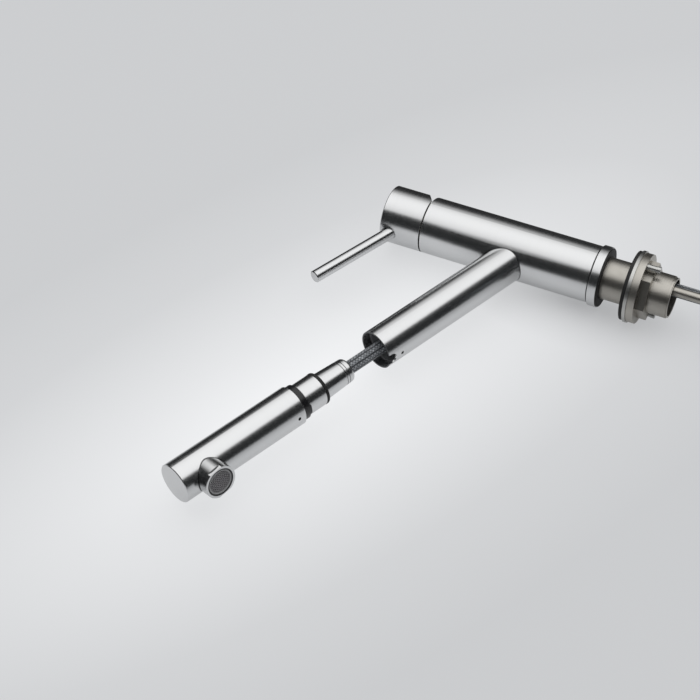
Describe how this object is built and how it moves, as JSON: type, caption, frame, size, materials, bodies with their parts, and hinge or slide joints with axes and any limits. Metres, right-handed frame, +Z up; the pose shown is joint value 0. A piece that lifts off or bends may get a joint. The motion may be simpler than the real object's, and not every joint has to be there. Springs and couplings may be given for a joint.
{
  "type": "pull-out kitchen faucet",
  "caption": "Brushed steel single-lever kitchen faucet: upright column, rising spout and a tubular spray head that pulls out on a braided hose and turns on it.",
  "frame": {"origin": "middle of the base where it meets the deck", "axes": "+Z up the column, -Y the way the spout and the lever point, +X to the right seen from the front"},
  "size_m": [0.1604, 0.3582, 0.5682],
  "materials": {
    "steel": "brushed",
    "zinc_steel": "zinc plated",
    "dark_steel": "black oxide",
    "brass": "turned",
    "nickel": "brass, dull nickel plated",
    "rubber": "matte",
    "dark_plastic": "matte",
    "grey_plastic": "satin",
    "pale_plastic": "satin",
    "disc": "polished ceramic",
    "braid": "braided nylon"
  },
  "bodies": {
    "base": {"base_seal": "rubber", "base_ring": "steel", "foot_washer": "dark_plastic", "slide_rings": "pale_plastic", "threaded_shank": "nickel", "rubber_washer": "rubber", "clamp_washer": "zinc_steel", "mounting_nut": "nickel", "jack_screws": "zinc_steel"},
    "column": {"column": "steel", "stop_screw": "zinc_steel", "docking_bush": "dark_plastic", "spout_grub_screw": "dark_steel", "valve_body": "brass", "cartridge_seal": "rubber", "cartridge_base": "pale_plastic", "fixed_disc": "disc", "cartridge_housing": "pale_plastic", "cartridge_nut": "brass", "mixed_tail": "nickel", "hose_inner": "braid", "hose_coil": "braid", "hose_tie": "dark_plastic", "union_nut": "nickel"},
    "turn": {"turret": "pale_plastic", "pivot_pin": "zinc_steel"},
    "disc": {"moving_disc": "disc"},
    "tilt": {"spindle": "zinc_steel", "control_cap": "steel", "lever": "steel"},
    "hose": {"ferrule": "steel", "hose_front": "braid"},
    "head": {"head_shell": "steel", "collar": "dark_plastic", "head_grub_screw": "dark_steel", "coupling": "steel", "coupling_o_ring": "rubber", "coupling_clip": "zinc_steel", "waterway": "pale_plastic", "aerator_seal": "rubber", "aerator_housing": "dark_plastic", "aerator_insert": "grey_plastic", "aerator_mesh": "dark_plastic", "aerator_core": "pale_plastic"}
  },
  "joints": [
    {"name": "column_swivel", "type": "hinge", "parent": "base", "child": "column", "pos_m": [0, 0, 0], "axis": [0, 0, 1], "range_deg": [-60, 60]},
    {"name": "temperature_turn", "type": "hinge", "parent": "column", "child": "turn", "pos_m": [0, 0, 0.164], "axis": [0, 0, 1], "range_deg": [-50, 50]},
    {"name": "lever_lift", "type": "hinge", "parent": "turn", "child": "tilt", "pos_m": [0, 0, 0.164], "axis": [-1, 0, 0], "range_deg": [0, 25]},
    {"name": "disc_slide", "type": "slide", "parent": "turn", "child": "disc", "axis": [0, -1, 0], "range_m": [0, 0.0043]},
    {"name": "pull_out", "type": "slide", "parent": "column", "child": "hose", "axis": [0, -0.9191, 0.3939], "range_m": [-0.0828, 0.3172], "deforming": ["hose_inner"]},
    {"name": "head_turn", "type": "hinge", "parent": "hose", "child": "head", "pos_m": [0, -0.21232, 0.1614], "axis": [0, -0.9191, 0.3939], "continuous": true}
  ],
  "couplings": [
    {"joint": "disc_slide", "follows": "lever_lift", "m_per_rad": 0.0096857}
  ]
}
